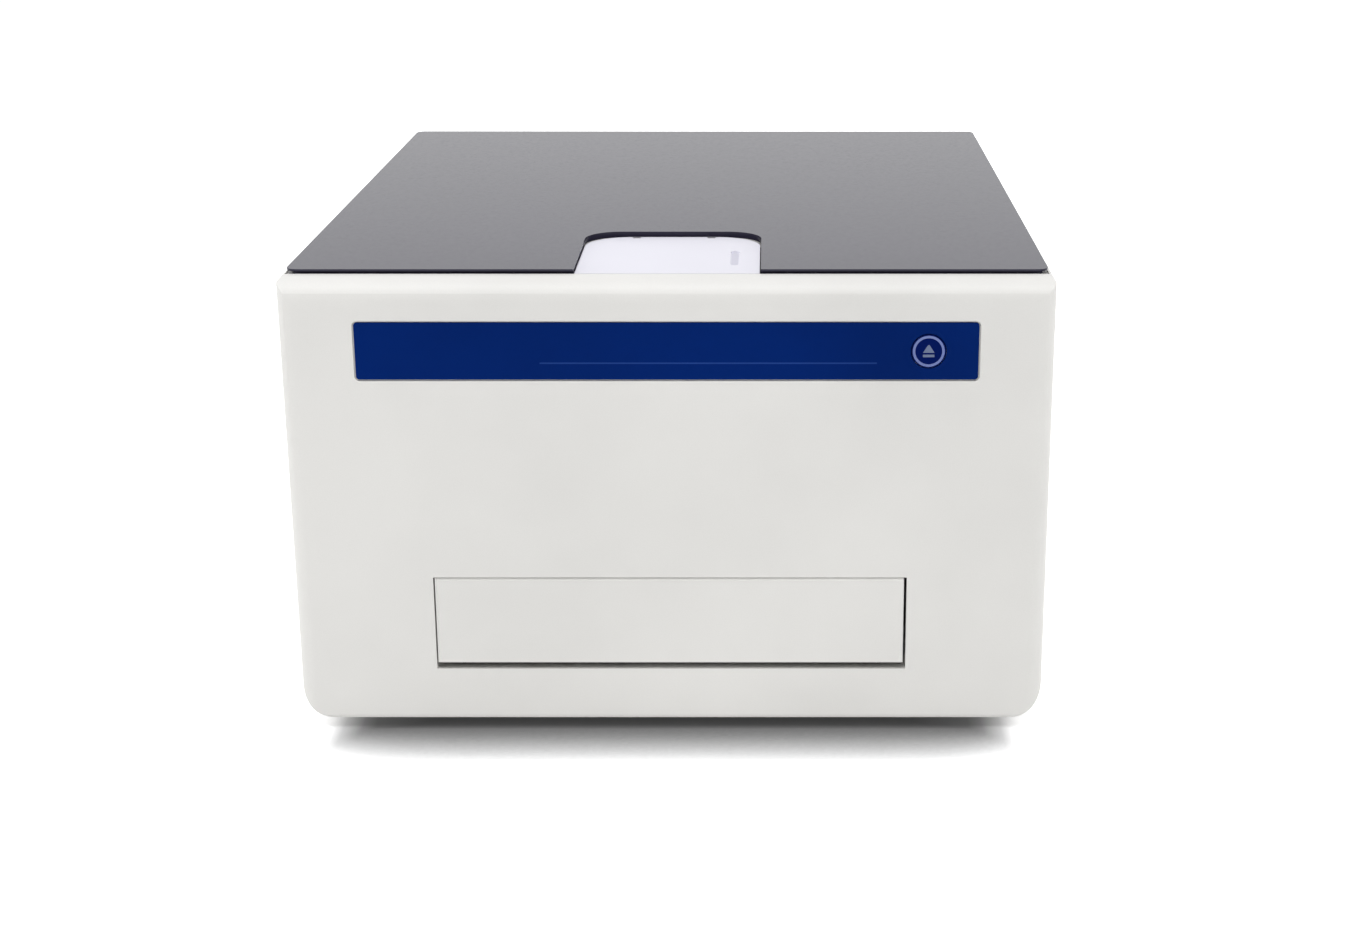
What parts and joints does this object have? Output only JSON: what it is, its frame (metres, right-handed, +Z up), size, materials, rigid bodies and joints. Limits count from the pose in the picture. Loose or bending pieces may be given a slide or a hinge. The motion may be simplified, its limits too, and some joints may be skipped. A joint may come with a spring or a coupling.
{
  "type": "microplate reader",
  "caption": "Bench-top microplate reader: a white case with a front drawer for a well plate, a cuvette port lid in its grey top and a blue control strip.",
  "frame": {"origin": "centre of the case's footprint on the bench", "axes": "+Z up, the front faces -Y, +X to the right seen from the front"},
  "size_m": [0.348, 0.4, 0.2185],
  "materials": {
    "case_white": "fine satin moulding",
    "lid_white": "fine satin moulding",
    "top_grey": "fine matt texture",
    "strip_blue": "printed polyester film",
    "button_blue": "satin",
    "foot_rubber": "matt",
    "seal_foam": "closed-cell foam",
    "belt_black": "toothed belt",
    "sheet_steel": "zinc-plated sheet",
    "rail_steel": "drawn steel",
    "screw_steel": "plated",
    "bright_steel": "ground and hardened",
    "black_plastic": "moulded",
    "tray_grey": "powder coat",
    "black_aluminium": "black anodised",
    "bare_aluminium": "milled",
    "motor_can": "painted can",
    "bronze": "sintered bronze",
    "rack_cream": "acetal",
    "board_green": "solder mask",
    "clear_glass": "polished",
    "lamp_glass": "fused silica",
    "mirror_face": "first-surface",
    "grating_face": "ruled",
    "filter_glass": "coloured glass",
    "cable_sheath": "soft sheath",
    "supply_case": "perforated sheet"
  },
  "bodies": {
    "case": {"front_bezel": "case_white", "housing_shell": "case_white", "top_panel": "top_grey", "base_pan": "sheet_steel", "rear_panel": "sheet_steel", "overlay_strip": "strip_blue", "rubber_feet": "foot_rubber", "fasteners": "screw_steel", "cuvette_well": "black_plastic", "cuvette_block": "black_aluminium", "cuvette_bracket": "sheet_steel", "lid_hinge_pins": "bright_steel", "button_board": "board_green", "outer_rails": "rail_steel", "rail_brackets": "sheet_steel", "drawer_motor": "motor_can", "motor_plate": "sheet_steel", "optics_deck": "bare_aluminium", "deck_pillars": "bare_aluminium", "read_head": "black_aluminium", "optical_lenses": "clear_glass", "fibre_bundle": "cable_sheath", "detector_block": "black_aluminium", "detector_board": "board_green", "mono_base": "black_aluminium", "mono_cover": "black_aluminium", "mono_mirrors": "mirror_face", "optics_motors": "motor_can", "lamp_housing": "black_aluminium", "flash_lamp": "lamp_glass", "power_supply": "supply_case", "power_inlet": "black_plastic", "switch_body": "black_plastic", "main_board": "board_green", "usb_ports": "screw_steel", "cooling_fan": "black_plastic", "wiring_harness": "cable_sheath"},
    "lid": {"cuvette_lid": "lid_white", "lid_seal": "seal_foam"},
    "button": {"eject_button": "button_blue"},
    "pinion": {"drawer_pinion": "bronze"},
    "drawer": {"drawer_front": "case_white", "drawer_tray": "tray_grey", "inner_rails": "rail_steel", "drawer_rack": "rack_cream", "carriage_rods": "bright_steel", "rod_blocks": "bare_aluminium", "carriage_motor": "motor_can", "belt_brackets": "sheet_steel", "carriage_belt": "belt_black"},
    "carriage": {"plate_carriage": "black_plastic", "carriage_bushes": "bronze"},
    "drive_pulley": {"drive_pulley": "bare_aluminium"},
    "idler_pulley": {"idler_pulley": "bare_aluminium"},
    "lever": {"plate_lever": "bright_steel"},
    "grating": {"grating": "grating_face"},
    "wheel": {"filter_wheel": "black_aluminium", "filter_discs": "filter_glass"},
    "rocker": {"power_rocker": "black_plastic"},
    "fan": {"fan_rotor": "black_plastic"}
  },
  "joints": [
    {"name": "drawer_slide", "type": "slide", "parent": "case", "child": "drawer", "axis": [0, -1, 0], "range_m": [0, 0.135]},
    {"name": "pinion_spin", "type": "hinge", "parent": "case", "child": "pinion", "pos_m": [0.082, -0.16, 0.0256], "axis": [1, 0, 0], "continuous": true},
    {"name": "carriage_slide", "type": "slide", "parent": "drawer", "child": "carriage", "axis": [1, 0, 0], "range_m": [-0.0495, 0.0495]},
    {"name": "drive_pulley_spin", "type": "hinge", "parent": "drawer", "child": "drive_pulley", "pos_m": [-0.08, -0.05572, 0.0565], "axis": [0, 1, 0], "continuous": true},
    {"name": "idler_pulley_spin", "type": "hinge", "parent": "drawer", "child": "idler_pulley", "pos_m": [0.08, -0.05572, 0.0565], "axis": [0, 1, 0], "continuous": true},
    {"name": "plate_lever_swing", "type": "hinge", "parent": "carriage", "child": "lever", "pos_m": [0.06898, -0.11586, 0.052], "axis": [0, 0, -1], "range_deg": [0, 4], "stiffness_Nm_per_rad": 0.02},
    {"name": "cuvette_lid_hinge", "type": "hinge", "parent": "case", "child": "lid", "pos_m": [0, -0.11, 0.2146], "axis": [-1, 0, 0], "range_deg": [0, 90]},
    {"name": "eject_button_press", "type": "slide", "parent": "case", "child": "button", "axis": [0, 1, 0], "range_m": [0, 0.001], "stiffness_N_per_m": 400},
    {"name": "grating_turn", "type": "hinge", "parent": "case", "child": "grating", "pos_m": [-0.027, -0.00172, 0.132], "axis": [0, 0, 1], "range_deg": [-20, 30]},
    {"name": "filter_wheel_turn", "type": "hinge", "parent": "case", "child": "wheel", "pos_m": [0.052, 0.03928, 0.132], "axis": [1, 0, 0], "continuous": true},
    {"name": "power_rocker_tilt", "type": "hinge", "parent": "case", "child": "rocker", "pos_m": [-0.07, 0.1958, 0.0725], "axis": [0, 0, -1], "range_deg": [0, 16]},
    {"name": "fan_spin", "type": "hinge", "parent": "case", "child": "fan", "pos_m": [0.092, 0.189, 0.1285], "axis": [0, 1, 0], "continuous": true}
  ],
  "couplings": [
    {"joint": "pinion_spin", "follows": "drawer_slide", "rad_per_m": 111.11},
    {"joint": "drive_pulley_spin", "follows": "carriage_slide", "rad_per_m": 157.08},
    {"joint": "idler_pulley_spin", "follows": "carriage_slide", "rad_per_m": 157.08}
  ]
}
